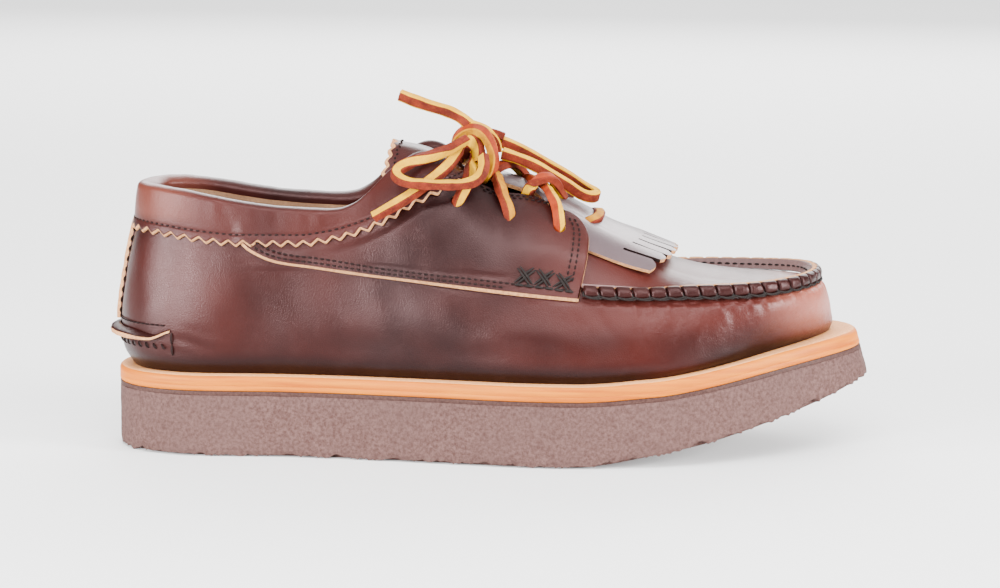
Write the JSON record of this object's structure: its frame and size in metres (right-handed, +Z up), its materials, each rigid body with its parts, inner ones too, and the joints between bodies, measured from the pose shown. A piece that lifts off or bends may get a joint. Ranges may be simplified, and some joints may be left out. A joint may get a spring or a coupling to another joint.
{
  "type": "derby shoe",
  "caption": "Moccasin-toe derby shoe for the right foot: brown leather upper with puckered apron seam, slit kiltie and rawhide lace on a thick wedge sole",
  "frame": {"origin": "on the floor plane under the middle of the sole's length, on the flat of the tread", "axes": "+X towards the toe, +Y towards the inner side of the foot, +Z up"},
  "size_m": [0.3097, 0.1061, 0.1443],
  "materials": {
    "crepe rubber": "matte",
    "dark rubber": "matte",
    "tan leather": "satin",
    "insole leather": "matte",
    "brown leather": "waxed satin",
    "seam leather": "waxed satin",
    "tongue leather": "satin",
    "rawhide": "matte"
  },
  "bodies": {
    "root": {"outsole": "crepe rubber", "slip_sole": "dark rubber", "midsole": "tan leather", "insole": "insole leather", "upper": "brown leather", "collar": "brown leather", "quarter_lateral": "brown leather", "quarter_medial": "brown leather", "kiltie": "brown leather", "tongue": "tongue leather", "apron_seam": "seam leather", "back_seam": "seam leather", "heel_flange": "seam leather", "lace_bar_front": "rawhide", "lace_cross_1": "rawhide", "lace_cross_2": "rawhide", "lace_bar_back": "rawhide", "lace_knot": "rawhide", "lace_loop_lateral": "rawhide", "lace_loop_medial": "rawhide", "lace_end_lateral": "rawhide", "lace_end_medial": "rawhide"}
  },
  "joints": []
}
